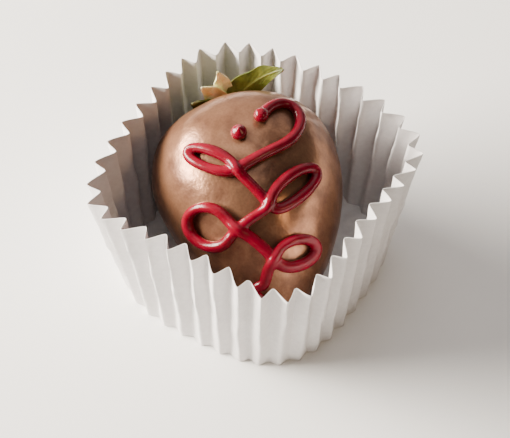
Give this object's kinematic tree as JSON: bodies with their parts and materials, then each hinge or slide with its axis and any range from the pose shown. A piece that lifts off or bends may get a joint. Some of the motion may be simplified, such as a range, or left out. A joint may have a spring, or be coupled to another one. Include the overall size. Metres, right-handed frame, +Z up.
{
  "type": "chocolate coated strawberry",
  "caption": "Chocolate coated strawberry with a looped red icing line, a dot and its green leaves, lying in a fluted white paper cup.",
  "frame": {"origin": "bottom centre of the paper cup, on the surface it stands on", "axes": "+Z up, +X to the right and +Y to the back of the square cell that the cup was shaped by; the berry's tip points between +X and -Y"},
  "size_m": [0.0536, 0.0536, 0.0385],
  "materials": {
    "white_paper": "thin greaseproof paper, pleated, matt",
    "lustred_chocolate": "chocolate coat dusted with pearly bronze lustre, satin",
    "red_icing": "glossy red piped icing",
    "green_leaf": "fresh leaf, slightly dry at the tips"
  },
  "bodies": {
    "root": {"paper_case": "white_paper", "coated_berry": "lustred_chocolate", "piped_line": "red_icing", "piped_dot": "red_icing", "calyx": "green_leaf"}
  },
  "joints": []
}
